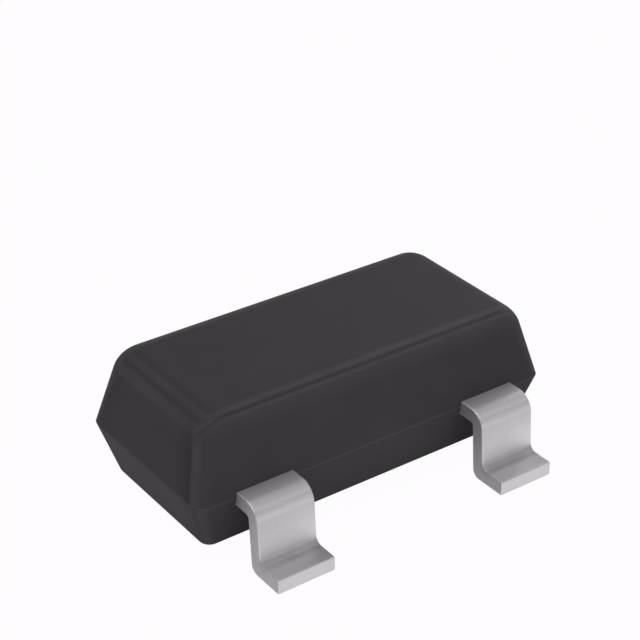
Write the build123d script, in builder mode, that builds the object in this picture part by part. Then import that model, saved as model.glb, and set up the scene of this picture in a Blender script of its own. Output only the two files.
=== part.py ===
from build123d import *
from math import cos, radians, tan
import os

# A three-lead voltage supervisor in a small-outline moulded package, in millimetres.
# The board it is soldered to is the plane Z = 0, +X runs along the body and +Z points up.
# Leads 1 and 2 leave the long side at -Y, lead 3 leaves the middle of the long side at +Y.

# Mould body: two drafted halves that meet in a sharp parting line
body_length = 2.96
body_width = 1.40
overall_height = 1.075
parting_height = 0.50
standoff = 0.09
upper_end_draft = 14.5
upper_side_draft = 6.5
lower_end_draft = 17.0
lower_side_draft = 16.0
parting_corner_radius = 0.10
top_corner_radius = 0.19
bottom_corner_radius = 0.08
top_edge_radius = 0.18
bottom_edge_radius = 0.04

# Leads: strip of copper alloy, bent down to the board in a gull wing
strip_thickness = 0.11
strip_above_parting = 0.04
lead_width = 0.46
lead_pitch = 1.90
span_over_tips = 2.34
foot_length = 0.31
riser_lean = 4.5
shoulder_inner_radius = 0.025
heel_inner_radius = 0.05
heel_outer_radius = 0.07
sheared_edge_chamfer = 0.012

# The flat part of the strip, which stays inside the mould
flag_cover = 0.18
flag_width = 0.60
flag_depth = 0.38
strip_corner_radius = 0.04
anchor_hole_diameter = 0.15
anchor_hole_inset = 0.13
paddle_cover = 0.34
paddle_length = 1.00
paddle_width = 0.74
anchor_notch_radius = 0.06

# Chip on the paddle, and the layer that holds it
die_length = 0.62
die_width = 0.50
die_thickness = 0.15
die_back_margin = 0.16
bond_line = 0.02
bond_squeeze_out = 0.02

# Gold wires: a ball on the chip, a kinked loop, and a stitch pressed flat on the strip
wire_diameter = 0.025
ball_diameter = 0.07
ball_height = 0.02
ball_edge_chamfer = 0.007
pad_inset = 0.09
long_loop_height = 0.14
short_loop_height = 0.08
kink_length = 0.035
stitch_length = 0.07
stitch_width = 0.045
stitch_thickness = 0.01
stitch_inset = 0.14

# Levels and places that follow from the sizes above
upper_height = overall_height - parting_height
lower_height = parting_height - standoff
strip_top = parting_height + strip_above_parting
strip_bottom = strip_top - strip_thickness
die_bottom = strip_top + bond_line
die_top = die_bottom + die_thickness
flag_outer = body_width / 2 - flag_cover
flag_inner = flag_outer - flag_depth
paddle_outer = body_width / 2 - paddle_cover
die_back = paddle_outer - die_back_margin
die_middle = die_back - die_width / 2


def drafted(size, height, draft):
    """Size left after walls on both sides have leaned in over this height."""
    return size - 2 * height * tan(radians(draft))


def strip_plane(x, side):
    """Level plane under the strip, whose Y points out of the body at the lead at x."""
    return Plane(origin=(x, 0, strip_bottom), x_dir=(side, 0, 0), z_dir=(0, 0, 1))


def gull_wing(x, side, start):
    """The bent strip, from its flat part inside the mould to its tip on the board."""
    lean = tan(radians(riser_lean))
    tip = span_over_tips / 2
    heel_rear = tip - foot_length
    heel_front = heel_rear + strip_thickness / cos(radians(riser_lean))
    with BuildPart() as wing:
        with BuildSketch(Plane(origin=(x, 0, 0), x_dir=(0, side, 0), z_dir=(side, 0, 0))):
            with BuildLine():
                FilletPolyline(
                    (start, strip_top),
                    (heel_front - strip_top * lean, strip_top),
                    (heel_front - strip_thickness * lean, strip_thickness),
                    (tip, strip_thickness),
                    radius=(shoulder_inner_radius + strip_thickness, heel_inner_radius),
                )
                FilletPolyline(
                    (start, strip_bottom),
                    (heel_rear - strip_bottom * lean, strip_bottom),
                    (heel_rear, 0),
                    (tip, 0),
                    radius=(shoulder_inner_radius, heel_outer_radius),
                )
                Line((start, strip_bottom), (start, strip_top))
                Line((tip, 0), (tip, strip_thickness))
            make_face()
        extrude(amount=lead_width / 2, both=True)
        chamfer(wing.faces().filter_by(Axis.X).edges(), sheared_edge_chamfer)
    return wing.part


def bond_wire(pad, landing, loop_height):
    """Ball on the chip at pad, a loop over to landing on the strip, and the stitch there."""
    across = Vector(*landing) - Vector(*pad)
    loop_top = die_top + ball_height + loop_height
    upright = Plane(origin=pad, x_dir=across, z_dir=across.cross(Vector(0, 0, 1)))
    with BuildPart() as wire:
        with BuildSketch(Plane(origin=pad, x_dir=across).offset(die_top)):
            Circle(ball_diameter / 2)
        extrude(amount=ball_height)
        chamfer(wire.edges().filter_by(GeomType.CIRCLE), ball_edge_chamfer)
        with BuildLine(upright):
            loop = Polyline(
                (0, die_top + ball_height / 2),
                (0, loop_top - kink_length),
                (kink_length, loop_top),
                (0.6 * across.length, loop_top - kink_length),
                (across.length, strip_top + wire_diameter / 2),
            )
        with BuildSketch(Plane(origin=loop @ 0, z_dir=loop % 0)):
            Circle(wire_diameter / 2)
        sweep(transition=Transition.RIGHT)
        with BuildSketch(Plane(origin=landing, x_dir=across).offset(strip_top)):
            Ellipse(stitch_length / 2, stitch_width / 2)
        extrude(amount=stitch_thickness)
    return wire.part


os.makedirs("parts", exist_ok=True)

# Leads 1 and 2: a wide flag with an anchor hole, then the gull wing
enclosed = []
for number, x in ((1, -lead_pitch / 2), (2, lead_pitch / 2)):
    with BuildPart() as lead:
        with BuildSketch(strip_plane(x, -1)):
            with Locations((0, flag_outer - flag_depth / 2)):
                RectangleRounded(flag_width, flag_depth, strip_corner_radius)
            with Locations((0, flag_outer - anchor_hole_inset)):
                Circle(anchor_hole_diameter / 2, mode=Mode.SUBTRACT)
        extrude(amount=strip_thickness)
        add(gull_wing(x, -1, flag_outer))
    lead.part.label = f"lead_{number}"
    export_step(lead.part, f"parts/lead_{number}.step")
    enclosed.append(lead.part)

# Lead 3: the paddle that carries the chip, a notched neck, then the gull wing
with BuildPart() as lead_3:
    with BuildSketch(strip_plane(0, 1)):
        with Locations((0, paddle_outer - paddle_width / 2)):
            RectangleRounded(paddle_length, paddle_width, strip_corner_radius)
    extrude(amount=strip_thickness)
    add(gull_wing(0, 1, paddle_outer))
    with BuildSketch(strip_plane(0, 1)):
        neck_middle = paddle_outer + paddle_cover / 2
        with Locations((-lead_width / 2, neck_middle), (lead_width / 2, neck_middle)):
            Circle(anchor_notch_radius)
    extrude(amount=strip_thickness, mode=Mode.SUBTRACT)
lead_3.part.label = "lead_3"
export_step(lead_3.part, "parts/lead_3.step")
enclosed.append(lead_3.part)

# The bonded layer, squeezed out a little past the chip
with BuildPart() as die_attach:
    with BuildSketch(Plane(origin=(0, die_middle, strip_top))):
        RectangleRounded(
            die_length + 2 * bond_squeeze_out,
            die_width + 2 * bond_squeeze_out,
            bond_squeeze_out,
        )
    extrude(amount=bond_line)
die_attach.part.label = "die_attach"
export_step(die_attach.part, "parts/die_attach.step")
enclosed.append(die_attach.part)

with BuildPart() as die:
    with BuildSketch(Plane(origin=(0, die_middle, die_bottom))):
        Rectangle(die_length, die_width)
    extrude(amount=die_thickness)
die.part.label = "die"
export_step(die.part, "parts/die.step")
enclosed.append(die.part)

# One wire to each signal lead, and one down to the paddle of lead 3
pad_x = die_length / 2 - pad_inset
pad_front = die_back - die_width + pad_inset
pad_back = die_back - pad_inset
flag_landing_x = lead_pitch / 2 - flag_width / 2 + stitch_inset
flag_landing_y = -(flag_inner + stitch_inset)
paddle_landing_y = (die_back + paddle_outer) / 2
wire_runs = (
    (1, (-pad_x, pad_front), (-flag_landing_x, flag_landing_y), long_loop_height),
    (2, (pad_x, pad_front), (flag_landing_x, flag_landing_y), long_loop_height),
    (3, (pad_x, pad_back), (pad_x, paddle_landing_y), short_loop_height),
)
for number, pad, landing, loop_height in wire_runs:
    wire = bond_wire(pad, landing, loop_height)
    wire.label = f"bond_wire_{number}"
    export_step(wire, f"parts/bond_wire_{number}.step")
    enclosed.append(wire)

# The epoxy is moulded round everything above, so it is hollow exactly where they are
with BuildPart() as mould_body:
    with BuildSketch(Plane.XY.offset(parting_height)):
        RectangleRounded(body_length, body_width, parting_corner_radius)
    with BuildSketch(Plane.XY.offset(overall_height)):
        RectangleRounded(
            drafted(body_length, upper_height, upper_end_draft),
            drafted(body_width, upper_height, upper_side_draft),
            top_corner_radius,
        )
    loft(ruled=True)
    fillet(mould_body.edges().group_by(Axis.Z)[-1], top_edge_radius)
    with BuildSketch(Plane.XY.offset(parting_height)):
        RectangleRounded(body_length, body_width, parting_corner_radius)
    with BuildSketch(Plane.XY.offset(standoff)):
        RectangleRounded(
            drafted(body_length, lower_height, lower_end_draft),
            drafted(body_width, lower_height, lower_side_draft),
            bottom_corner_radius,
        )
    loft(ruled=True)
    fillet(mould_body.edges().group_by(Axis.Z)[0], bottom_edge_radius)
    for piece in enclosed:
        add(piece, mode=Mode.SUBTRACT)
mould_body.part.label = "mould_body"
export_step(mould_body.part, "parts/mould_body.step")
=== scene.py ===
# %% [markdown]
# # Dressing a three-lead voltage supervisor
# The object is a chip in a moulded case three millimetres long, on three tinned leads that are soldered to
# a board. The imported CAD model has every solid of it, but its curves are cut into flats and it has no
# finish. This script keeps that model as its frame, puts smoother pieces in the place of its case and its
# leads, gives each piece the finish of the real one, and sets up the light and the camera.
# The frame comes first. Its size is measured before anything is added, so that the finished model can be
# compared with it at the end.

# %% Load the frame
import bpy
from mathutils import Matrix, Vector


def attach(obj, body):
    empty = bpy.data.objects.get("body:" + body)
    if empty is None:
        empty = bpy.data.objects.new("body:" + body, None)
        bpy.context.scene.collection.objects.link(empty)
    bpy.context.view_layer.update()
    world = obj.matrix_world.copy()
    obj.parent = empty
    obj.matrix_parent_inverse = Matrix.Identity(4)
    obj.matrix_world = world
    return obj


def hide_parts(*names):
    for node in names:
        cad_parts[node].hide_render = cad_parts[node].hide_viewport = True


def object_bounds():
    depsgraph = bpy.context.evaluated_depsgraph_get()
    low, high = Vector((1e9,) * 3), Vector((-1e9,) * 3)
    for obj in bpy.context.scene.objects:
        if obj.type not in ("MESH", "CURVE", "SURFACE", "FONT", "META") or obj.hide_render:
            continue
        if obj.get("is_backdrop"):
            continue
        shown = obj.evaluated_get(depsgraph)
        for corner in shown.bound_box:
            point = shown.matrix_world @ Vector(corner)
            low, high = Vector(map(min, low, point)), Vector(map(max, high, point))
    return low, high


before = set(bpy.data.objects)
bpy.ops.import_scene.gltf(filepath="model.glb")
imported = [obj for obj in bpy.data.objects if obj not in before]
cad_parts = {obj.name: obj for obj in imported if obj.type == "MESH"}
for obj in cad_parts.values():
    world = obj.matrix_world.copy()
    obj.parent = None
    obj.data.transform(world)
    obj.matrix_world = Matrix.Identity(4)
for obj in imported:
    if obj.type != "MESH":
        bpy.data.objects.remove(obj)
cad_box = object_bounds()
print("CAD box, in mm:", [[round(1000 * value, 4) for value in corner] for corner in cad_box])

# %% Modules
from math import atan2, cos, hypot, pi, radians, tan

import bmesh
import bpy
from mathutils import Matrix, Vector

print("Blender", bpy.app.version_string)

# %% [markdown]
# ## The camera
# The photograph was taken with a long lens from the front left, about thirty degrees up. The camera stands
# on a line from the point it aims at, turned round that point and raised above the board, which is how a
# photographer would say it. It is only thirteen millimetres away, because the part is three millimetres
# long. Sizes in this script are in millimetres, and MM turns them into the metres that Blender counts in.

# %% Camera
MM = 0.001
AIM = Vector((0.1529, 0.2208, 0.9692)) * MM
DISTANCE = 12.8505 * MM
AZIMUTH = radians(-35.8046)
ELEVATION = radians(29.7882)
ROLL = radians(0.0921)
LENS = 101.19

turned = Matrix.Rotation(AZIMUTH, 3, "Z") @ Matrix.Rotation(pi / 2 - ELEVATION, 3, "X")
turned = turned @ Matrix.Rotation(ROLL, 3, "Z")
bpy.ops.object.camera_add(
    location=AIM + turned @ Vector((0, 0, DISTANCE)),
    rotation=turned.to_euler(),
)
camera = bpy.context.object
camera.data.lens = LENS
camera.data.clip_start = 0.5 * MM
camera.data.clip_end = 1.0
bpy.context.scene.camera = camera
bpy.context.scene.view_settings.view_transform = "Standard"
print("camera at, in mm:", [round(value / MM, 3) for value in camera.location])

# %% [markdown]
# ## Finishes
# A finish is a few nodes that turn a place on the surface into colour, gloss and grain. They all read
# Object coordinates, which are the same metres that the part is measured in, so the size of a grain is
# written as its real size. Colours are written as sRGB hex values, as in any paint program, and one
# function turns them to the linear values that Blender works with. Another adds a node with its settings
# and links, so that each finish below reads from top to bottom.

# %% Colour and node helpers
def linear(hex_colour):
    """The linear colour of an sRGB hex value such as "#3c3a3d"."""
    channels = [int(hex_colour[i:i + 2], 16) / 255 for i in (1, 3, 5)]
    return [c / 12.92 if c <= 0.04045 else ((c + 0.055) / 1.055) ** 2.4 for c in channels] + [1]


def add(tree, kind, inputs=None, **settings):
    """Adds a node, makes its settings, and gives each named input its value or its link.

    A node that is given as an input stands for the first of its outputs that is in use.
    """
    node = tree.nodes.new(kind)
    for name, value in settings.items():
        setattr(node, name, value)
    for name, value in (inputs or {}).items():
        if isinstance(value, bpy.types.Node):
            value = next(output for output in value.outputs if output.enabled)
        if isinstance(value, bpy.types.NodeSocket):
            tree.links.new(value, node.inputs[name])
        else:
            node.inputs[name].default_value = value
    return node


def blank(name):
    """A new material with nothing in it yet."""
    material = bpy.data.materials.new(name)
    material.use_nodes = True
    material.node_tree.nodes.clear()
    return material


def show(material, surface):
    """Sets the surface that a material shows, once all its other nodes are there."""
    add(material.node_tree, "ShaderNodeOutputMaterial", {"Surface": surface})
    print(material.name, "has", len(material.node_tree.nodes), "nodes")


def per(size_mm):
    """How many times a pattern of this size repeats in a metre."""
    return 1 / (size_mm * MM)


print("half grey, #808080, is", round(linear("#808080")[0], 4), "in linear light")

# %% [markdown]
# ### Black epoxy moulding compound
# The case is epoxy filled with powdered silica and a little carbon black, pressed hot into a steel mould
# whose walls were roughened by spark erosion. That gives the eye a dull charcoal with a very fine, even
# grit, a few paler grains of silica near the skin, and hardly any gloss except at a low angle. Real grit is
# about ten micrometres across. It is drawn twice as coarse here, because a pixel of the picture is seven
# micrometres wide.

# %% Epoxy
epoxy = blank("Epoxy moulding compound, spark-eroded mould finish")
tree = epoxy.node_tree
place = add(tree, "ShaderNodeTexCoord").outputs["Object"]

grit = add(tree, "ShaderNodeTexNoise", {
    "Vector": place, "Scale": per(0.020), "Detail": 2, "Roughness": 0.6,
})
cloud = add(tree, "ShaderNodeTexNoise", {
    "Vector": place, "Scale": per(0.35), "Detail": 3, "Roughness": 0.55,
})
grains = add(tree, "ShaderNodeTexVoronoi", {"Vector": place, "Scale": per(0.030)})
grain_size = add(tree, "ShaderNodeMapRange", {
    "Value": grains, "From Min": 0.10, "From Max": 0.22, "To Min": 1, "To Max": 0,
})
grain_kind = add(tree, "ShaderNodeSeparateColor", {"Color": grains.outputs["Color"]})
grain_pale = add(tree, "ShaderNodeMapRange", {
    "Value": grain_kind.outputs["Red"], "From Min": 0.84, "From Max": 0.98, "To Min": 0, "To Max": 0.30,
})
silica = add(tree, "ShaderNodeMath", {0: grain_size, 1: grain_pale}, operation="MULTIPLY")

tone = add(tree, "ShaderNodeMix", {
    "Factor": cloud, "A": linear("#434044"), "B": linear("#49464a"),
}, data_type="RGBA")
speckled = add(tree, "ShaderNodeMix", {
    "Factor": silica, "A": tone, "B": linear("#615f63"),
}, data_type="RGBA")
print(epoxy.name, "starts with", len(tree.nodes), "nodes")

# %% [markdown]
# Round the top edge the colour carries painted highlights: two soft pale bands with a fine dark line of
# painted reflection between them, narrow along the sides and wider on the ends, where the wall leans more.
# The bands follow the edge, so they are placed by how far a point lies outside the flat of the top, as a
# share of how far they reach.

# %% How far a point lies outside the flat of the top
FLAT_EDGE = {"X": 1.1919, "Y": 0.4738}
REACH = {"X": 0.29, "Y": 0.125}

split = add(tree, "ShaderNodeSeparateXYZ", {"Vector": place})
from_axis = {}
outside = {}
for axis in "XY":
    from_axis[axis] = add(tree, "ShaderNodeMath", {0: split.outputs[axis]}, operation="ABSOLUTE")
    beyond = add(tree, "ShaderNodeMath", {
        0: from_axis[axis], 1: FLAT_EDGE[axis] * MM,
    }, operation="SUBTRACT")
    share = add(tree, "ShaderNodeMath", {0: beyond, 1: 1 / (REACH[axis] * MM)}, operation="MULTIPLY")
    outside[axis] = add(tree, "ShaderNodeMath", {0: share, 1: 0.0}, operation="MAXIMUM")
way_out = add(tree, "ShaderNodeCombineXYZ", outside)
from_flat = add(tree, "ShaderNodeVectorMath", {0: way_out}, operation="LENGTH")
print("the rubbed bands reach", REACH["Y"], "mm past the flat on the sides and", REACH["X"], "on the ends")

# %% [markdown]
# A colour ramp holds the profile across the bands. Middle grey in it leaves the epoxy as it is, and what is
# paler or darker than that scales its colour up or down. The sides and the ends have a profile each.

# %% Profiles of the bands
LEFT_AS_IT_IS = 0.5


def ramp(tree, value, stops):
    """A smooth curve through these (position, grey) stops."""
    node = add(tree, "ShaderNodeValToRGB", {"Fac": value})
    node.color_ramp.interpolation = "EASE"
    while len(node.color_ramp.elements) < len(stops):
        node.color_ramp.elements.new(0.5)
    for element, (position, grey) in zip(node.color_ramp.elements, stops):
        element.position = position
        element.color = (grey, grey, grey, 1)
    return node


# Both profiles are painted highlights, with a fine dark line of painted reflection between them.
side_bands = ramp(tree, from_flat, (
    (0.00, 0.50), (0.06, 0.64), (0.22, 0.72), (0.35, 0.86), (0.46, 0.76), (0.54, 0.50),
    (0.635, 0.24), (0.71, 0.40), (0.80, 0.72), (0.88, 0.66), (0.95, 0.54), (1.00, 0.50),
))
end_bands = ramp(tree, from_flat, (
    (0.00, 0.50), (0.04, 0.44), (0.15, 0.42), (0.20, 0.54), (0.25, 0.64), (0.31, 0.57),
    (0.36, 0.44), (0.40, 0.34), (0.44, 0.46), (0.49, 0.62), (0.57, 0.64), (0.62, 0.44),
    (0.72, 0.42), (0.85, 0.43), (1.00, 0.44),
))
print("two profiles, and", len(tree.nodes), "nodes so far")

# %% [markdown]
# Round a corner the profile of the side turns into that of the end, by the way the wall faces. The painted
# highlights are strongest on the end at lead 1 and get fainter towards the other end. Below the parting line
# there is no top edge, so there the bands are switched off.

# %% From the sides round to the ends
PARTING = 0.50

facing = add(tree, "ShaderNodeSeparateXYZ", {
    "Vector": add(tree, "ShaderNodeNewGeometry").outputs["Normal"],
})
towards_end = add(tree, "ShaderNodeMath", {0: facing.outputs["X"]}, operation="ABSOLUTE")
towards_side = add(tree, "ShaderNodeMath", {0: facing.outputs["Y"]}, operation="ABSOLUTE")
bearing = add(tree, "ShaderNodeMath", {0: towards_end, 1: towards_side}, operation="ARCTAN2")
quarter = add(tree, "ShaderNodeMath", {0: bearing, 1: 2 / pi}, operation="MULTIPLY")
fading_to_far_end = add(tree, "ShaderNodeMapRange", {
    "Value": split.outputs["X"], "From Min": -0.5 * MM, "From Max": 0.9 * MM, "To Min": 0, "To Max": 0.75,
})
uneven_end = add(tree, "ShaderNodeMix", {
    "Factor": fading_to_far_end, "A": end_bands, "B": (LEFT_AS_IT_IS, LEFT_AS_IT_IS, LEFT_AS_IT_IS, 1),
}, data_type="RGBA")
bands = add(tree, "ShaderNodeMix", {
    "Factor": quarter, "A": side_bands, "B": uneven_end,
}, data_type="RGBA")
top_edge_highlight = add(tree, "ShaderNodeMath", {0: bands, 1: LEFT_AS_IT_IS}, operation="SUBTRACT")
in_upper_half = add(tree, "ShaderNodeMath", {
    0: split.outputs["Z"], 1: PARTING * MM,
}, operation="GREATER_THAN")
top_edge_highlight = add(tree, "ShaderNodeMath", {0: top_edge_highlight, 1: in_upper_half}, operation="MULTIPLY")
print("top edge rubbed, and", len(tree.nodes), "nodes so far")

# %% [markdown]
# Up each corner runs one more painted highlight, with a band of painted shade beside it on the end wall.
# These are placed by how far a point stands out past the flat of the end wall. That flat is narrower than
# the case by a corner radius on each side, and gets narrower away from the parting line. On the lower half,
# where the corner is tighter, the same pair lies a little nearer to the side.

# %% Bands up the corners
CORNER_FROM = -0.20
CORNER_REACH = 0.36
WALL_HALF = 0.60
NARROWING = 0.26
LOWER_SHIFT = 0.035

from_middle = add(tree, "ShaderNodeMath", {0: split.outputs["Z"], 1: PARTING * MM}, operation="SUBTRACT")
from_middle = add(tree, "ShaderNodeMath", {0: from_middle}, operation="ABSOLUTE")
out_past = add(tree, "ShaderNodeMath", {
    0: from_middle, 1: NARROWING, 2: from_axis["Y"],
}, operation="MULTIPLY_ADD")
out_past = add(tree, "ShaderNodeMath", {
    0: in_upper_half, 1: LOWER_SHIFT * MM, 2: out_past,
}, operation="MULTIPLY_ADD")
corner_from = WALL_HALF + LOWER_SHIFT + CORNER_FROM
across_corner = add(tree, "ShaderNodeMapRange", {
    "Value": out_past, "From Min": corner_from * MM, "From Max": (corner_from + CORNER_REACH) * MM,
})
corner_bands = ramp(tree, across_corner, (
    (0.00, 0.50), (0.22, 0.42), (0.36, 0.30), (0.46, 0.22), (0.53, 0.34), (0.58, 0.62),
    (0.63, 0.78), (0.72, 0.72), (0.79, 0.52), (0.90, 0.50), (1.00, 0.50),
))
print("corner bands start", round(corner_from, 3), "mm from the middle line of the end wall")

# %% [markdown]
# The bands of a corner fade out on the side wall and where the corner turns over into the top. The painted
# highlight and shade stand out most at the corner by lead 1, and the other three get a quarter as much.

# %% Where the corner bands fade
off_the_side = add(tree, "ShaderNodeMapRange", {"Value": quarter, "From Min": 0.10, "From Max": 0.32})
turning_over = add(tree, "ShaderNodeMath", {0: facing.outputs["Z"]}, operation="ABSOLUTE")
on_wall = add(tree, "ShaderNodeMapRange", {
    "Value": turning_over, "From Min": 0.3, "From Max": 0.8, "To Min": 1, "To Max": 0,
})
to_lead_1 = add(tree, "ShaderNodeVectorMath", {0: place, 1: (-1, -1, 0)}, operation="DOT_PRODUCT")
strongest_at_lead_1 = add(tree, "ShaderNodeMapRange", {
    "Value": to_lead_1, "From Min": 0.9 * MM, "From Max": 1.8 * MM, "To Min": 0.25, "To Max": 1,
})
on_corner = add(tree, "ShaderNodeMath", {0: off_the_side, 1: on_wall}, operation="MULTIPLY")
on_corner = add(tree, "ShaderNodeMath", {0: on_corner, 1: strongest_at_lead_1}, operation="MULTIPLY")
corner_highlight = add(tree, "ShaderNodeMath", {0: corner_bands, 1: LEFT_AS_IT_IS}, operation="SUBTRACT")
highlighted = add(tree, "ShaderNodeMath", {0: corner_highlight, 1: on_corner, 2: top_edge_highlight}, operation="MULTIPLY_ADD")
print("corners rubbed, and", len(tree.nodes), "nodes so far")

# %% [markdown]
# All of the painted bands are patchy. The top is painted a little paler towards the far end, as painted
# light, and the walls there a little darker, as painted shade.

# %% Patches, and painted light on the top and far walls
patchy = add(tree, "ShaderNodeMapRange", {
    "Value": cloud, "From Min": 0.35, "From Max": 0.65, "To Min": 0.8, "To Max": 1.2,
})
on_top = add(tree, "ShaderNodeMapRange", {"Value": facing.outputs["Z"], "From Min": 0.3, "From Max": 0.9})
# Painted light: the top paler towards the far end. Painted shade: the walls darker there.
painted_paler_top = add(tree, "ShaderNodeMapRange", {
    "Value": split.outputs["X"], "From Min": -1.2 * MM, "From Max": 1.2 * MM, "To Min": 1.02, "To Max": 1.13,
})
painted_darker_far_walls = add(tree, "ShaderNodeMapRange", {
    "Value": split.outputs["X"], "From Min": 0.1 * MM, "From Max": 0.9 * MM, "To Min": 1.0, "To Max": 0.91,
})
chip_film_and_case_light = add(tree, "ShaderNodeMix", {"Factor": on_top, "A": painted_darker_far_walls, "B": painted_paler_top})
# The painted highlights and shade of the edges, corners, top and walls scale the epoxy colour together.
light_and_shade = add(tree, "ShaderNodeMath", {0: highlighted, 1: patchy, 2: chip_film_and_case_light}, operation="MULTIPLY_ADD")
epoxy_lit_and_shaded = add(tree, "ShaderNodeVectorMath", {0: speckled, "Scale": light_and_shade}, operation="SCALE")
print("wear ready, and", len(tree.nodes), "nodes so far")

# %% [markdown]
# Where the two halves of the mould met, a hair of clear resin bled out and dried paler, so the pale band
# there is partly that resin and partly a painted highlight along the fin. It is a band ten micrometres to
# each side of the parting line. The gloss is set low, because pits as fine as these trap most of what a
# polished epoxy would mirror, and it varies a little from place to place.

# %% Parting line, gloss and grit of the epoxy
PALE_LINE_HALF_WIDTH = 0.010
PALE_LINE_SHARE = 0.20
PIT_DEPTH = 0.0012

# Pale band at the parting line: resin bleed and a painted highlight.
from_parting = add(tree, "ShaderNodeMath", {
    0: split.outputs["Z"], 1: PARTING * MM, 2: PALE_LINE_HALF_WIDTH * MM,
}, operation="COMPARE")
pale_parting_line = add(tree, "ShaderNodeMath", {0: from_parting, 1: PALE_LINE_SHARE}, operation="MULTIPLY")
bleed_and_highlight = add(tree, "ShaderNodeMix", {
    "Factor": pale_parting_line, "A": epoxy_lit_and_shaded, "B": linear("#757378"),
}, data_type="RGBA")
dullness = add(tree, "ShaderNodeMapRange", {"Value": cloud, "To Min": 0.56, "To Max": 0.64})
pitted = add(tree, "ShaderNodeBump", {"Height": grit, "Strength": 0.6, "Distance": PIT_DEPTH * MM})
surface = add(tree, "ShaderNodeBsdfPrincipled", {
    "Base Color": bleed_and_highlight,
    "Roughness": dullness,
    "Normal": pitted,
    "IOR": 1.55,
    "Specular IOR Level": 0.05,
})
show(epoxy, surface)

# %% [markdown]
# ### Matte tin on copper alloy
# The leads are stamped from rolled copper alloy strip and plated with matte tin after the case is moulded.
# Matte tin is a metal with a grain like frosted glass: pale grey, with wide soft reflections, never a
# mirror. The rolling marks of the strip show through the plating as fine lines along the lead. They are
# noise that is stretched sixty times along the strip.

# %% Tin and its rolling marks
tin = blank("Matte tin plating on rolled copper alloy")
tree = tin.node_tree
place = add(tree, "ShaderNodeTexCoord").outputs["Object"]

stretched = add(tree, "ShaderNodeMapping", {"Vector": place, "Scale": (per(0.014), per(0.9), per(0.9))})
rolled = add(tree, "ShaderNodeTexNoise", {"Vector": stretched, "Scale": 1, "Detail": 2, "Roughness": 0.6})
crystals = add(tree, "ShaderNodeTexNoise", {
    "Vector": place, "Scale": per(0.012), "Detail": 2, "Roughness": 0.6,
})
patches = add(tree, "ShaderNodeTexNoise", {
    "Vector": place, "Scale": per(0.16), "Detail": 2, "Roughness": 0.5,
})
streaks = add(tree, "ShaderNodeMix", {
    "Factor": rolled, "A": linear("#d1cfd2"), "B": linear("#dfdde0"),
}, data_type="RGBA")
plated = add(tree, "ShaderNodeMix", {
    "Factor": patches, "A": streaks, "B": linear("#d6d4d8"),
}, data_type="RGBA")
print(tin.name, "starts with", len(tree.nodes), "nodes")

# %% [markdown]
# On the stamped sides the tool has torn the metal, so they are a little darker and rougher. Their colour is
# also darker towards lead 2, as painted shade, and the sides there are darkest.

# %% Stamped sides
facing = add(tree, "ShaderNodeSeparateXYZ", {
    "Vector": add(tree, "ShaderNodeNewGeometry").outputs["Normal"],
})
sideways = add(tree, "ShaderNodeMath", {0: facing.outputs["X"]}, operation="ABSOLUTE")
stamped = add(tree, "ShaderNodeMapRange", {"Value": sideways, "From Min": 0.7, "From Max": 0.95})
split = add(tree, "ShaderNodeSeparateXYZ", {"Vector": place})
# Painted shade: the stamped sides get darker towards lead 2.
shade_towards_lead_2 = add(tree, "ShaderNodeMapRange", {
    "Value": split.outputs["X"], "From Min": -0.9 * MM, "From Max": 0.9 * MM,
})
torn_and_shaded = add(tree, "ShaderNodeMix", {
    "Factor": shade_towards_lead_2, "A": linear("#c0bec2"), "B": linear("#aeacb0"),
}, data_type="RGBA")
colour = add(tree, "ShaderNodeMix", {"Factor": stamped, "A": plated, "B": torn_and_shaded}, data_type="RGBA")
print("stamped sides coloured, and", len(tree.nodes), "nodes so far")

# %% [markdown]
# Painted light and shade go by the height over the board: the strip is painted paler on its way down, and
# bands of painted reflection run across the outside of the upper bend. A colour ramp holds them in the way
# it holds the painted highlights round the top of the case. The tip is palest of all, a painted highlight
# that goes by how far out it is.

# %% Painted light by height, and at the tip
PAINTED_FROM = 0.10
PAINTED_TO = 0.54

height = add(tree, "ShaderNodeMapRange", {
    "Value": split.outputs["Z"], "From Min": PAINTED_FROM * MM, "From Max": PAINTED_TO * MM,
})
# Painted light and painted reflection bands, by height over the board.
painted_light_by_height = ramp(tree, height, (
    (0.00, 0.50), (0.07, 0.50), (0.11, 0.61), (0.16, 0.69), (0.21, 0.69), (0.27, 0.70), (0.36, 0.67),
    (0.45, 0.63), (0.59, 0.55), (0.68, 0.51), (0.73, 0.47), (0.76, 0.50), (0.78, 0.53), (0.80, 0.52),
    (0.83, 0.47), (0.86, 0.42), (0.89, 0.43), (0.91, 0.52), (0.93, 0.54), (0.95, 0.45), (0.97, 0.42),
    (0.99, 0.45), (1.00, 0.51),
))
# Painted highlight on the tip.
out_from_case = add(tree, "ShaderNodeMath", {0: split.outputs["Y"]}, operation="ABSOLUTE")
tip_highlight = add(tree, "ShaderNodeMapRange", {
    "Value": out_from_case, "From Min": 1.135 * MM, "From Max": 1.168 * MM, "To Min": 0, "To Max": 0.11,
})
print("marks from", PAINTED_FROM, "to", PAINTED_TO, "mm over the board")

# %% [markdown]
# The inside of the bend at the foot is rougher, and its colour is darkened there as painted shade in that
# crease. The top of the foot is darkened as painted shade too. The shade in the bend is placed by its
# distance from the bend as the strip is seen from the side, so that it runs right across.

# %% Painted shade in the inner bend and on the foot
INNER_BEND = (0.991, 0.117)

in_section = add(tree, "ShaderNodeCombineXYZ", {"Y": out_from_case, "Z": split.outputs["Z"]})
from_bend = add(tree, "ShaderNodeVectorMath", {
    0: in_section, 1: (0, INNER_BEND[0] * MM, INNER_BEND[1] * MM),
}, operation="DISTANCE")
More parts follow.
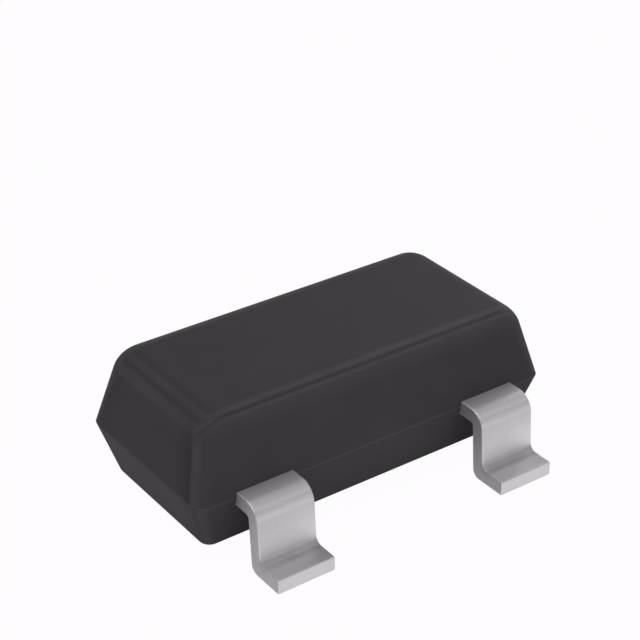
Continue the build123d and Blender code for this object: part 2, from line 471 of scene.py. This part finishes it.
# Painted shade in the crease of the bend at the foot, which is also rougher there.
near_inner_bend = add(tree, "ShaderNodeMapRange", {
    "Value": from_bend, "From Min": 0.015 * MM, "From Max": 0.075 * MM, "To Min": 1, "To Max": 0,
}, interpolation_type="SMOOTHSTEP")
uneven = add(tree, "ShaderNodeMapRange", {
    "Value": patches, "From Min": 0.3, "From Max": 0.7, "To Min": -0.21, "To Max": -0.36,
})
inner_bend_shade = add(tree, "ShaderNodeMath", {0: near_inner_bend, 1: uneven}, operation="MULTIPLY")
# Painted shade on the top of the foot.
facing_up = add(tree, "ShaderNodeMapRange", {
    "Value": facing.outputs["Z"], "From Min": 0.6, "From Max": 0.95,
})
foot_top_shade = add(tree, "ShaderNodeMapRange", {
    "Value": out_from_case, "From Min": 0.985 * MM, "From Max": 1.045 * MM, "To Min": 0, "To Max": -0.18,
})
foot_and_bend_shade = add(tree, "ShaderNodeMath", {0: facing_up, 1: foot_top_shade, 2: inner_bend_shade}, operation="MULTIPLY_ADD")
print("inner bend bruised, and", len(tree.nodes), "nodes so far")

# %% [markdown]
# All this painted light and shade adds up to how much paler or darker the plating is, and it is left off
# the stamped sides. The gloss comes from the crystals of the tin, and is weaker where the metal is torn and
# round the inside of the bend at the foot. Two bumps give it its grain: the rolling marks first, and the
# crystals on top of them.

# %% Colour, gloss and grain of the tin
ROLLING_DEPTH = 0.0008
CRYSTAL_DEPTH = 0.0007

# Painted light and shade of the tin, added up.
painted = add(tree, "ShaderNodeMath", {0: painted_light_by_height, 1: LEFT_AS_IT_IS}, operation="SUBTRACT")
for more in (foot_and_bend_shade, tip_highlight):
    painted = add(tree, "ShaderNodeMath", {0: painted, 1: more}, operation="ADD")
rolled_face = add(tree, "ShaderNodeMath", {0: 1.0, 1: stamped}, operation="SUBTRACT")
painted_scale = add(tree, "ShaderNodeMath", {0: painted, 1: rolled_face, 2: 1.0}, operation="MULTIPLY_ADD")
toned = add(tree, "ShaderNodeVectorMath", {0: colour, "Scale": painted_scale}, operation="SCALE")

frosted = add(tree, "ShaderNodeMapRange", {"Value": crystals, "To Min": 0.50, "To Max": 0.62})
roughened = frosted
for cause, amount in ((stamped, 0.08), (near_inner_bend, 0.15)):
    roughened = add(tree, "ShaderNodeMath", {0: cause, 1: amount, 2: roughened}, operation="MULTIPLY_ADD")
lines = add(tree, "ShaderNodeBump", {"Height": rolled, "Strength": 0.35, "Distance": ROLLING_DEPTH * MM})
grained = add(tree, "ShaderNodeBump", {
    "Height": crystals, "Strength": 0.5, "Distance": CRYSTAL_DEPTH * MM, "Normal": lines,
})
surface = add(tree, "ShaderNodeBsdfPrincipled", {
    "Base Color": toned,
    "Metallic": 1.0,
    "Roughness": roughened,
    "Normal": grained,
})
show(tin, surface)

# %% [markdown]
# ### Chip, adhesive and wires
# The pieces inside are right as the CAD model has them, so they stay, and only their finish is new. It goes
# into the material slots that they already have.
# The chip is silicon, polished, built up in layers and sealed under a film of glass. That gives the eye a
# dark blue grey mirror, broken into small blocks of circuit. Real circuit lines are far below a micrometre,
# so the blocks stand for whole cells of it.

# %% Silicon and its circuit
LANE_SHARE = 0.35

silicon = blank("Polished silicon chip, passivated")
tree = silicon.node_tree
place = add(tree, "ShaderNodeTexCoord").outputs["Object"]
split = add(tree, "ShaderNodeSeparateXYZ", {"Vector": place})

cells = add(tree, "ShaderNodeTexVoronoi", {
    "Vector": place, "Scale": per(0.055), "Randomness": 0.75,
}, distance="CHEBYCHEV")
lanes = add(tree, "ShaderNodeTexVoronoi", {
    "Vector": place, "Scale": per(0.012), "Randomness": 0.2,
}, distance="CHEBYCHEV")
cell_kind = add(tree, "ShaderNodeSeparateColor", {"Color": cells.outputs["Color"]})
lane_kind = add(tree, "ShaderNodeSeparateColor", {"Color": lanes.outputs["Color"]})
circuit = add(tree, "ShaderNodeMath", {
    0: lane_kind.outputs["Green"], 1: LANE_SHARE, 2: cell_kind.outputs["Red"],
}, operation="MULTIPLY_ADD")
chip_film_and_case_light = add(tree, "ShaderNodeMix", {
    "Factor": circuit, "A": linear("#3a4252"), "B": linear("#6d6a78"),
}, data_type="RGBA")
print(silicon.name, "starts with", len(tree.nodes), "nodes")

# %% [markdown]
# Under the balls of the three wires the glass is left open over bare aluminium pads. A pad is where a point
# is near the middle of the pad both ways, and the largest of the three answers says if it is on any of
# them. The circuit is only on the face of the chip, so the sawn sides stay plain.

# %% Pads and face of the chip
HALF_PAD = 0.04
PADS = ((-0.22, -0.21), (0.22, -0.21), (0.22, 0.11))
JUST_UNDER_FACE = 0.709

on_pad = None
for x, y in PADS:
    across = add(tree, "ShaderNodeMath", {
        0: split.outputs["X"], 1: x * MM, 2: HALF_PAD * MM,
    }, operation="COMPARE")
    along = add(tree, "ShaderNodeMath", {
        0: split.outputs["Y"], 1: y * MM, 2: HALF_PAD * MM,
    }, operation="COMPARE")
    square = add(tree, "ShaderNodeMath", {0: across, 1: along}, operation="MULTIPLY")
    if on_pad:
        square = add(tree, "ShaderNodeMath", {0: on_pad, 1: square}, operation="MAXIMUM")
    on_pad = square
on_face = add(tree, "ShaderNodeMath", {
    0: split.outputs["Z"], 1: JUST_UNDER_FACE * MM,
}, operation="GREATER_THAN")
bare = add(tree, "ShaderNodeMath", {0: on_pad, 1: on_face}, operation="MULTIPLY")
faced = add(tree, "ShaderNodeMix", {
    "Factor": on_face, "A": linear("#55565c"), "B": chip_film_and_case_light,
}, data_type="RGBA")
padded = add(tree, "ShaderNodeMix", {
    "Factor": bare, "A": faced, "B": linear("#dcdddf"),
}, data_type="RGBA")
print(len(PADS), "pads of", 2 * HALF_PAD, "mm")

# %% [markdown]
# The face of the chip mirrors well, and its layers stand out as low steps. The sawn sides are duller, with
# fine marks that run level round the chip.

# %% Gloss of the chip
STEP_DEPTH = 0.0005

sawn = add(tree, "ShaderNodeTexNoise", {
    "Vector": add(tree, "ShaderNodeMapping", {"Vector": place, "Scale": (per(0.2), per(0.2), per(0.006))}),
    "Scale": 1, "Detail": 2,
})
sawn_gloss = add(tree, "ShaderNodeMapRange", {"Value": sawn, "To Min": 0.34, "To Max": 0.50})
gloss = add(tree, "ShaderNodeMix", {"Factor": on_face, "A": sawn_gloss, "B": 0.12})
steps = add(tree, "ShaderNodeBump", {"Height": circuit, "Strength": 0.4, "Distance": STEP_DEPTH * MM})
surface = add(tree, "ShaderNodeBsdfPrincipled", {
    "Base Color": padded,
    "Metallic": bare,
    "Roughness": gloss,
    "Normal": steps,
    "IOR": 2.0,
})
show(silicon, surface)

# %% [markdown]
# The adhesive under the chip is epoxy packed with silver flakes, dispensed as a drop and cured, so it looks
# like a dull grey paste with glints in it. The flakes are about eight micrometres across.

# %% Adhesive
LUMP_DEPTH = 0.003

paste = blank("Silver-filled epoxy, dispensed and cured")
tree = paste.node_tree
place = add(tree, "ShaderNodeTexCoord").outputs["Object"]
flakes = add(tree, "ShaderNodeTexVoronoi", {"Vector": place, "Scale": per(0.008)})
flake_kind = add(tree, "ShaderNodeSeparateColor", {"Color": flakes.outputs["Color"]})
glint = add(tree, "ShaderNodeMapRange", {
    "Value": flake_kind.outputs["Red"], "From Min": 0.45, "From Max": 0.65, "To Min": 0.2, "To Max": 0.9,
})
grey = add(tree, "ShaderNodeMix", {
    "Factor": flake_kind.outputs["Green"], "A": linear("#8d8b87"), "B": linear("#b9b7b2"),
}, data_type="RGBA")
lumps = add(tree, "ShaderNodeTexNoise", {"Vector": place, "Scale": per(0.05), "Detail": 2})
lumpy = add(tree, "ShaderNodeBump", {"Height": lumps, "Strength": 0.6, "Distance": LUMP_DEPTH * MM})
surface = add(tree, "ShaderNodeBsdfPrincipled", {
    "Base Color": grey,
    "Metallic": glint,
    "Roughness": 0.45,
    "Normal": lumpy,
})
show(paste, surface)

# %% [markdown]
# The wires are almost pure gold, drawn through dies to a third of a hair and bonded with heat and
# ultrasound. Drawing leaves them bright, with hardly a mark, and the ball and the stitch are a little
# duller, where the gold was melted and pressed. One noise does for both, at the size of a grain of gold.

# %% Gold
GRAIN_DEPTH = 0.0005

gold = blank("Drawn gold bond wire")
tree = gold.node_tree
place = add(tree, "ShaderNodeTexCoord").outputs["Object"]
grain = add(tree, "ShaderNodeTexNoise", {"Vector": place, "Scale": per(0.006), "Detail": 2})
warm = add(tree, "ShaderNodeMix", {
    "Factor": grain, "A": linear("#e9c072"), "B": linear("#f5d48e"),
}, data_type="RGBA")
drawn = add(tree, "ShaderNodeMapRange", {"Value": grain, "To Min": 0.14, "To Max": 0.30})
pressed = add(tree, "ShaderNodeBump", {"Height": grain, "Strength": 0.4, "Distance": GRAIN_DEPTH * MM})
surface = add(tree, "ShaderNodeBsdfPrincipled", {
    "Base Color": warm,
    "Metallic": 1.0,
    "Roughness": drawn,
    "Normal": pressed,
})
show(gold, surface)

# %% [markdown]
# Now each of the CAD pieces that stay gets its finish. The three wires share one.

# %% Finish the pieces that stay
for name, finish in (
    ("die", silicon),
    ("die_attach", paste),
    ("bond_wire_1", gold),
    ("bond_wire_2", gold),
    ("bond_wire_3", gold),
):
    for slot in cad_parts[name].material_slots:
        slot.material = finish
    print(name, "is finished with:", finish.name)

# %% [markdown]
# ## The bench
# Blender counts in metres, and at that scale the details of this part are smaller than the distance at
# which Blender's tools merge two points. Each piece is therefore made on a bench where one unit is a
# millimetre, and is shrunk to metres when it is done. The helpers below do what a hand does: take hold of
# one piece and nothing else, start it from a primitive, and pick its faces or edges by where they are.

# %% Take a piece and begin a piece
def take(piece):
    """Selects this piece alone and makes it the active one."""
    bpy.ops.object.select_all(action="DESELECT")
    piece.select_set(True)
    bpy.context.view_layer.objects.active = piece


def begin(name, primitive, scale, place, **settings):
    """Adds a primitive at its size and place, all of it selected, and opens it in edit mode."""
    bpy.ops.object.select_all(action="DESELECT")
    primitive(location=place, **settings)
    piece = bpy.context.object
    piece.name = name
    piece.scale = scale
    bpy.ops.object.transform_apply(location=True, rotation=True, scale=True)
    bpy.ops.object.mode_set(mode="EDIT")
    return piece

# %% Pick faces and edges
SAME = 0.0005


def pick(kind, test):
    """In edit mode, selects just the "faces" or "edges" that pass the test."""
    bpy.ops.mesh.select_mode(type=kind[:-1].upper())
    bpy.ops.mesh.select_all(action="DESELECT")
    mesh = bmesh.from_edit_mesh(bpy.context.object.data)
    for item in getattr(mesh, kind):
        if test(item):
            item.select_set(True)
    mesh.select_flush_mode()


def near(a, b):
    """True if two lengths on the bench are the same."""
    return abs(a - b) < SAME


def pick_edges_at(**place):
    """Selects the edges that lie wholly at this place, such as z=0.54."""
    pick("edges", lambda edge: all(
        near(getattr(v.co, axis), value) for v in edge.verts for axis, value in place.items()))


print("two lengths on the bench are the same if they differ by less than", SAME, "mm")

# %% [markdown]
# ## The leads
# A lead leaves the case level, is bent down to the board over a former, and is bent out again into a foot.
# The first bend rolls round one centre. The second is squeezed between two tools, so that its outside is
# sharper than the thickness of the strip would allow. A spin gives the inside and the outside of a bend the
# same centre, so the strip is made from straight lengths instead: a rectangle standing in the mitre of the
# first bend is extruded down to the second, out to the tip, and back into the case.
# Inside the case the strip is still flat. Two leads end in a wide flag, which keeps them from being pulled
# out, and the third ends in the paddle that carries the chip. Both are the strip extruded further in and
# then out to each side.

# %% Sizes of the strip, in millimetres
STRIP = 0.11
STRIP_TOP = 0.54
STRIP_UNDER = STRIP_TOP - STRIP
LEAD_WIDTH = 0.46
LEAD_PITCH = 1.90
TIP = 1.17
FOOT = 0.31
HEEL = TIP - FOOT
LEAN = radians(4.5)
heel_front = HEEL + STRIP / cos(LEAN)
shoulder = (heel_front - STRIP_TOP * tan(LEAN), STRIP_TOP)
armpit = (HEEL - STRIP_UNDER * tan(LEAN), STRIP_UNDER)
instep = (heel_front - STRIP * tan(LEAN), STRIP)
heel = (HEEL, 0)
for name, corner in (("shoulder", shoulder), ("armpit", armpit), ("instep", instep), ("heel", heel)):
    print(name, "corner at y, z:", [round(value, 3) for value in corner])

# %% Fold the strip
RUN = shoulder[0] - armpit[0]
MITRE = Vector((0, (shoulder[0] + armpit[0]) / 2, (shoulder[1] + armpit[1]) / 2))
SIDEWAYS = 0.9


def extrude(*way):
    """Extrudes what is selected this way."""
    bpy.ops.mesh.extrude_region_move(TRANSFORM_OT_translate={"value": way})


def square_off(y):
    """Flattens what is selected into the upright plane at y."""
    bpy.ops.transform.resize(value=(1, 0, 1), center_override=(0, y, 0))


def fold_lead(name, flat_edge, flat_depth, flat_width):
    """A lead with square edges, in edit mode. Its wide inner flat starts at flat_edge."""
    lead = begin(
        name,
        bpy.ops.mesh.primitive_plane_add,
        (LEAD_WIDTH, hypot(RUN, STRIP), 1),
        MITRE,
        size=1,
        rotation=(atan2(STRIP, RUN), 0, 0),
    )
    extrude(0, STRIP_UNDER * tan(LEAN), -STRIP_UNDER)
    extrude(0, FOOT, 0)
    square_off(TIP)
    pick("faces", lambda face: near((face.calc_center_median() - MITRE).length, 0))
    extrude(0, flat_edge - MITRE.y, 0)
    square_off(flat_edge)
    extrude(0, -flat_depth, 0)
    for side in (-1, 1):
        pick("faces", lambda face: abs(face.normal.x) > SIDEWAYS
             and face.calc_center_median().x * side > 0
             and face.calc_center_median().y < flat_edge)
        extrude(side * (flat_width - LEAD_WIDTH) / 2, 0, 0)
    bpy.ops.mesh.select_all(action="SELECT")
    bpy.ops.mesh.normals_make_consistent(inside=False)
    bpy.ops.mesh.dissolve_limited(angle_limit=radians(0.5))
    return lead


print("the mitre of the first bend stands at y, z:", round(MITRE.y, 3), round(MITRE.z, 3))

# %% [markdown]
# Then come the radii, in the order in which a toolmaker would think of them: the outside and the inside of
# both bends, the corners of the flat as the stamping tool cut them, and last the thin rounding where a
# sheared wall meets a rolled face. Without that rounding an edge would be a line with no light on it, and
# in the photograph each edge of the leads is a fine bright line. The last bevel goes without loop slide,
# which would make it cross itself in the small corners of the flag. The tool sheared the two sides, the
# tip and every upright face of the flat.

# %% Round the folds and the edges
TURN = pi / 2 - LEAN
SHOULDER_INSIDE = 0.025
INSTEP_RADIUS = 0.05
HEEL_RADIUS = 0.07
BENDS = (
    (shoulder, SHOULDER_INSIDE + STRIP),
    (armpit, SHOULDER_INSIDE),
    (instep, INSTEP_RADIUS),
    (heel, HEEL_RADIUS),
)
FLAT_CORNER = 0.04
FLAT_REACHES = 0.6
UPRIGHT = 0.1
SHEARED_EDGE = 0.012


def is_wall(face):
    """True for a face that the stamping tool sheared, and not for one that was rolled."""
    middle = face.calc_center_median()
    in_flat = middle.y < FLAT_REACHES
    return abs(face.normal.x) > SIDEWAYS or near(middle.y, TIP) or (in_flat and abs(face.normal.z) < UPRIGHT)


def close(piece):
    """Turns every face of a finished solid outwards and leaves edit mode."""
    bpy.ops.mesh.select_all(action="SELECT")
    bpy.ops.mesh.normals_make_consistent(inside=False)
    bpy.ops.object.mode_set(mode="OBJECT")
    return piece


def round_lead(lead, flat_edge, flat_depth, flat_width):
    """Gives a folded lead its radii and closes it."""
    for (y, z), radius in BENDS:
        pick_edges_at(y=y, z=z)
        bpy.ops.mesh.bevel(offset=radius * tan(TURN / 2), segments=14)
    for end in (flat_edge, flat_edge - flat_depth):
        pick("edges", lambda edge: all(
            near(abs(v.co.x), flat_width / 2) and near(v.co.y, end) for v in edge.verts))
        bpy.ops.mesh.bevel(offset=FLAT_CORNER, segments=6)
    pick("edges", lambda edge: len({is_wall(face) for face in edge.link_faces}) == 2
         or all(near(v.co.y, TIP) for v in edge.verts))
    bpy.ops.mesh.bevel(offset=SHEARED_EDGE, segments=3, loop_slide=False)
    return close(lead)


print("bend radii, in mm:", [round(radius, 3) for _, radius in BENDS])

# %% [markdown]
# Both kinds of lead are made on the centre line, pointing to the back. The flag has a hole that the epoxy
# fills, and the neck of the paddle has two notches for the same reason. All three are punched with a round
# tool, which a Boolean modifier takes out of the strip.

# %% Punch
def cut(piece, tool):
    """Cuts a tool, or a collection of them, out of a piece with a Boolean that is applied at once."""
    take(piece)
    bpy.ops.object.modifier_add(type="BOOLEAN")
    boolean = piece.modifiers[-1]
    boolean.operation = "DIFFERENCE"
    boolean.solver = "EXACT"
    if isinstance(tool, bpy.types.Collection):
        boolean.operand_type = "COLLECTION"
        boolean.collection = tool
    else:
        boolean.object = tool
    bpy.ops.object.modifier_apply(modifier=boolean.name)


def punch(piece, radius, x, y):
    """Punches a round hole through the flat strip."""
    tool = begin("punch", bpy.ops.mesh.primitive_cylinder_add, (1, 1, 1),
                 (x, y, STRIP_TOP - STRIP / 2), radius=radius, depth=3 * STRIP, vertices=48)
    close(tool)
    cut(piece, tool)
    bpy.data.objects.remove(tool)

# %% [markdown]
# The lead with the flag is needed twice, turned round to the front, so it is made once and copied, and each
# copy has its own mesh.

# %% Make the three leads
FLAG = {"flat_edge": 0.52, "flat_depth": 0.38, "flat_width": 0.60}
PADDLE = {"flat_edge": 0.36, "flat_depth": 0.74, "flat_width": 1.00}
HOLE_RADIUS, HOLE_Y = 0.075, 0.39
NOTCH_RADIUS, NOTCH_Y = 0.06, 0.53

flag_lead = round_lead(fold_lead("flag_lead", **FLAG), **FLAG)
punch(flag_lead, HOLE_RADIUS, 0, HOLE_Y)
paddle_lead = round_lead(fold_lead("paddle_lead", **PADDLE), **PADDLE)
for x in (-LEAD_WIDTH / 2, LEAD_WIDTH / 2):
    punch(paddle_lead, NOTCH_RADIUS, x, NOTCH_Y)

leads = {"lead_3": paddle_lead}
for name, x in (("lead_1", -LEAD_PITCH / 2), ("lead_2", LEAD_PITCH / 2)):
    take(flag_lead)
    bpy.ops.object.duplicate()
    lead = bpy.context.object
    lead.rotation_euler.z = pi
    lead.location.x = x
    bpy.ops.object.transform_apply(location=True, rotation=True, scale=True)
    leads[name] = lead
bpy.data.objects.remove(flag_lead)
for name, lead in leads.items():
    print(name, "has", len(lead.data.polygons), "faces")

# %% [markdown]
# ## The moulded case
# The case has the shape of its mould: two halves that meet at the parting line and lean in from it, so
# that the case comes out. Three rounded outlines, at the top, at the parting line and at the bottom, are
# bridged into walls, which gives the corner at the top its larger radius. The edge round the top is then
# bevelled wide and the one round the bottom narrow.

# %% Outlines of the case, in millimetres
TOP = 1.075
STANDOFF = 0.09
LENGTH = 2.96
WIDTH = 1.40
UPPER_DRAFTS = (14.5, 6.5)
LOWER_DRAFTS = (17.0, 16.0)
TOP_CORNER = 0.19
PARTING_CORNER = 0.10
BOTTOM_CORNER = 0.08
CORNER_STEPS = 12


def drafted(height, drafts):
    """Length and width left after the walls have leaned in over this height, the ends first."""
    return [size - 2 * height * tan(radians(draft)) for size, draft in zip((LENGTH, WIDTH), drafts)]


def outline(z, length, width, corner):
    """A level outline with rounded corners and no face."""
    ring = begin("outline", bpy.ops.mesh.primitive_plane_add, (length, width, 1), (0, 0, z), size=1)
    bpy.ops.mesh.bevel(offset=corner, segments=CORNER_STEPS, affect="VERTICES")
    bpy.ops.mesh.select_all(action="SELECT")
    bpy.ops.mesh.delete(type="ONLY_FACE")
    bpy.ops.object.mode_set(mode="OBJECT")
    print("outline at", z, "is", round(length, 3), "by", round(width, 3))
    return ring


rings = [
    outline(TOP, *drafted(TOP - PARTING, UPPER_DRAFTS), TOP_CORNER),
    outline(PARTING, LENGTH, WIDTH, PARTING_CORNER),
    outline(STANDOFF, *drafted(PARTING - STANDOFF, LOWER_DRAFTS), BOTTOM_CORNER),
]

# %% Walls, top and bottom
take(rings[0])
for ring in rings:
    ring.select_set(True)
bpy.ops.object.join()
case = bpy.context.object
case.name = "case"
bpy.ops.object.mode_set(mode="EDIT")
for high, low in ((TOP, PARTING), (PARTING, STANDOFF)):
    pick("edges", lambda edge: near(edge.verts[0].co.z, edge.verts[1].co.z)
         and (near(edge.verts[0].co.z, high) or near(edge.verts[0].co.z, low)))
    bpy.ops.mesh.bridge_edge_loops()
for level in (TOP, STANDOFF):
    pick_edges_at(z=level)
    bpy.ops.mesh.edge_face_add()
print("the case has", len(bmesh.from_edit_mesh(case.data).faces), "faces before it is rounded")

# %% [markdown]
# The offset of a bevel is how far it reaches from the edge, and not its radius. These two give a radius of
# 0.18 at the top and of 0.04 at the bottom, between what the steeper side walls and the ends would need.

# %% Round the top and the bottom
ROUNDINGS = ((TOP, 0.153, 14), (STANDOFF, 0.030, 5))
for level, offset, steps in ROUNDINGS:
    pick_edges_at(z=level)
    bpy.ops.mesh.bevel(offset=offset, segments=steps)
    print("edge at", level, "mm rounded over", offset, "mm")

# %% [markdown]
# The mould halves never meet quite tightly. A fin of resin a few micrometres proud runs round the case
# where they closed, with a faint hollow on each side of it, and it is what catches the light as a thin
# pale line. The edge at the parting line is split into five, and the second and fourth are drawn in, so
# that the fin stands proud without growing past the case's own size.

# %% Fin at the parting line
FIN = 0.006
pick_edges_at(z=PARTING)
bpy.ops.mesh.bevel(offset=2 * FIN, segments=4, profile=1.0)
pick("edges", lambda edge: near(edge.verts[0].co.z, edge.verts[1].co.z)
     and 0.5 * FIN < abs(edge.verts[0].co.z - PARTING) < 1.5 * FIN)
bpy.ops.transform.resize(
    value=(1 - FIN / LENGTH, 1 - FIN / WIDTH, 1),
    center_override=(0, 0, PARTING),
)
close(case)
print("case before its pockets:", len(case.data.polygons), "faces")

# %% [markdown]
# The epoxy flows round everything that the mould holds, so the case is hollow exactly where the leads,
# the chip and the wires are. The leads are cut out of it as they are. The pieces inside are CAD nodes, and
# their meshes are loose triangles, so copies of them are merged into solids, brought to the bench and cut
# out too.

# %% Pockets in the case
MERGE_WITHIN = 0.0002

inserts = bpy.data.collections.new("inserts")
for lead in leads.values():
    inserts.objects.link(lead)
copies = []
for name in ("die_attach", "die", "bond_wire_1", "bond_wire_2", "bond_wire_3"):
    copy = bpy.data.objects.new("copy_of_" + name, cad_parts[name].data.copy())
    bpy.context.scene.collection.objects.link(copy)
    take(copy)
    copy.scale = (1 / MM, 1 / MM, 1 / MM)
    bpy.ops.object.transform_apply(location=True, rotation=True, scale=True)
    bpy.ops.object.mode_set(mode="EDIT")
    bpy.ops.mesh.select_all(action="SELECT")
    bpy.ops.mesh.remove_doubles(threshold=MERGE_WITHIN)
    bpy.ops.object.mode_set(mode="OBJECT")
    inserts.objects.link(copy)
    copies.append(copy)

cut(case, inserts)
for copy in copies:
    bpy.data.objects.remove(copy)
bpy.data.collections.remove(inserts)
print("case with its pockets:", len(case.data.polygons), "faces")

# %% [markdown]
# ## From the bench to the part
# Each piece is smoothed, with its flats kept flat: the Weighted Normal modifier lets the largest face at
# a corner decide how the light falls there. Then it is shrunk to metres, takes its finish and the place of
# its CAD node, and rides on the part's one body.

# %% Hand the pieces over
SMOOTH_BELOW = radians(38)


def hand_over(piece, name, cad_node, finish):
    """Finishes a piece of the bench and lets it stand for its CAD node."""
    take(piece)
    bpy.ops.object.shade_smooth_by_angle(angle=SMOOTH_BELOW)
    bpy.ops.object.modifier_add(type="WEIGHTED_NORMAL")
    piece.modifiers[-1].keep_sharp = True
    bpy.ops.object.modifier_apply(modifier=piece.modifiers[-1].name)
    piece.scale = (MM, MM, MM)
    bpy.ops.object.transform_apply(location=True, rotation=True, scale=True)
    piece.name = name
    piece.data.name = name
    piece.data.materials.clear()
    piece.data.materials.append(finish)
    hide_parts(cad_node)
    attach(piece, "root")
    mesh = bmesh.new()
    mesh.from_mesh(piece.data)
    print(name, "has", sum(len(face.verts) - 2 for face in mesh.faces), "triangles,",
          sum(not edge.is_manifold for edge in mesh.edges), "open edges,",
          round(mesh.calc_volume() / MM ** 3, 4), "cubic mm")
    mesh.free()


hand_over(case, "moulded_case", "mould_body", epoxy)
for name, lead in leads.items():
    hand_over(lead, name + "_tinned", name, tin)

# %% [markdown]
# ## Floor, backdrop and light
# The floor is a plain white sheet. A camera would see it a little grey, so nearly all that the camera sees
# of it is light of its own, at a strength of one, which is white, and so is almost half of what mirrors and
# glass see. The rest still takes the part's shadow. The sheet is made straight in metres, because it is no
# piece of the bench.

# %% Floor
FLOOR_SIZE = 0.12
SEEN_AS_WHITE = 0.98
MIRRORED_AS_WHITE = 0.45


def seen(tree, by_camera, in_mirrors):
    """One strength for camera rays, another for glossy and transmission rays, and none for the rest."""
    path = add(tree, "ShaderNodeLightPath")
    mirrored = add(tree, "ShaderNodeMath", {
        0: path.outputs["Is Glossy Ray"], 1: path.outputs["Is Transmission Ray"],
    }, operation="MAXIMUM")
    dimmed = add(tree, "ShaderNodeMath", {0: mirrored, 1: in_mirrors}, operation="MULTIPLY")
    both = add(tree, "ShaderNodeMath", {
        0: path.outputs["Is Camera Ray"], 1: by_camera, 2: dimmed,
    }, operation="MULTIPLY_ADD")
    return both


paper = blank("Matte white paper sheet")
tree = paper.node_tree
sheet = add(tree, "ShaderNodeBsdfDiffuse", {"Color": linear("#fbfafb")})
white = add(tree, "ShaderNodeEmission", {"Color": linear("#fffdff"), "Strength": 1})
mixed = add(tree, "ShaderNodeMixShader", {
    "Fac": seen(tree, SEEN_AS_WHITE, MIRRORED_AS_WHITE),
    1: sheet,
    2: white,
})
show(paper, mixed)

floor = begin("floor", bpy.ops.mesh.primitive_plane_add, (FLOOR_SIZE, FLOOR_SIZE, 1), (0, 0, 0), size=1)
bpy.ops.object.mode_set(mode="OBJECT")
floor.data.materials.append(paper)
floor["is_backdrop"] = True
print("the floor is", round(FLOOR_SIZE / MM), "mm square")

# %% [markdown]
# The world behind is white to the camera too. What it gives to the part is a bright horizon that turns into
# a dim ceiling as a ray looks further up, between two slopes that are written as the sine of their angle.
# What mirrors see of it is a tenth white.

# %% World
HORIZON = 0.67
CEILING = 0.03
DIMS_FROM = 0.10
DIMS_TO = 0.42
BACKDROP_MIRRORED = 0.10

world = bpy.data.worlds.new("White studio with a dim ceiling")
world.use_nodes = True
bpy.context.scene.world = world
tree = world.node_tree
tree.nodes.clear()
looking = add(tree, "ShaderNodeSeparateXYZ", {
    "Vector": add(tree, "ShaderNodeTexCoord").outputs["Generated"],
})
level = add(tree, "ShaderNodeMapRange", {
    "Value": looking.outputs["Z"],
    "From Min": DIMS_FROM, "From Max": DIMS_TO, "To Min": HORIZON, "To Max": CEILING,
}, interpolation_type="SMOOTHSTEP")
backdrop = add(tree, "ShaderNodeMix", {
    "Factor": seen(tree, 1.0, BACKDROP_MIRRORED), "A": level, "B": 1.0,
})
sky = add(tree, "ShaderNodeBackground", {"Color": linear("#fffdff"), "Strength": backdrop})
add(tree, "ShaderNodeOutputWorld", {"Surface": sky})
print(world.name, "gives", HORIZON, "at the horizon and", CEILING, "overhead")

# %% [markdown]
# The light is a plain studio of four softboxes. The main one hangs overhead, a little to the left. One at
# the right, closer by, makes the top paler towards that end. Two dim ones stand at the front, a tall one at
# the right and a low one in the middle. They open up the front wall and the bends of the leads, which would
# otherwise mirror the dim ceiling.
# How bright a softbox looks is its power over its area and pi, so each is given as that brightness, with
# the white of the paper as one. Distances and sizes are in millimetres.

# %% Softboxes
X, Y = (1, 0, 0), (0, 1, 0)
SOFTBOXES = {
    "overhead": ((-0.300, 0.000, 1.000), 40.0, (26, 26), Y, 4.05),
    "right": ((0.850, 0.220, 0.480), 12.0, (7, 6), Y, 1.7),
    "front_right": ((0.500, -0.720, 0.680), 20.0, (12, 18), X, 0.66),
    "low_front": ((-0.050, -1.000, 0.220), 20.0, (12, 7), X, 1.2),
}


def softbox(name, towards, distance, size, along, brightness):
    """A flat area light that faces the part from this direction, with its first side along this one."""
    facing = Vector(towards).normalized()
    side = Vector(along)
    side = (side - facing * side.dot(facing)).normalized()
    turn = Matrix((side, facing.cross(side), facing)).transposed()
    bpy.ops.object.light_add(type="AREA", location=facing * distance * MM, rotation=turn.to_euler())
    lamp = bpy.context.object
    lamp.name = name
    lamp.data.shape = "RECTANGLE"
    lamp.data.size = size[0] * MM
    lamp.data.size_y = size[1] * MM
    lamp.data.energy = brightness * pi * size[0] * size[1] * MM ** 2
    print("softbox", name, "gives", round(1000 * lamp.data.energy, 3), "milliwatts")


for name, settings in SOFTBOXES.items():
    softbox(name, *settings)

# %% [markdown]
# ## Sizes
# The finished model has to fill the same box as the CAD model, so both boxes are written down together.

# %% Write the sizes and finish
visual_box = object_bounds()
for name, box in (("CAD", cad_box), ("visual", visual_box)):
    print(name, "box, in mm:", [[round(value / MM, 4) for value in corner] for corner in box])
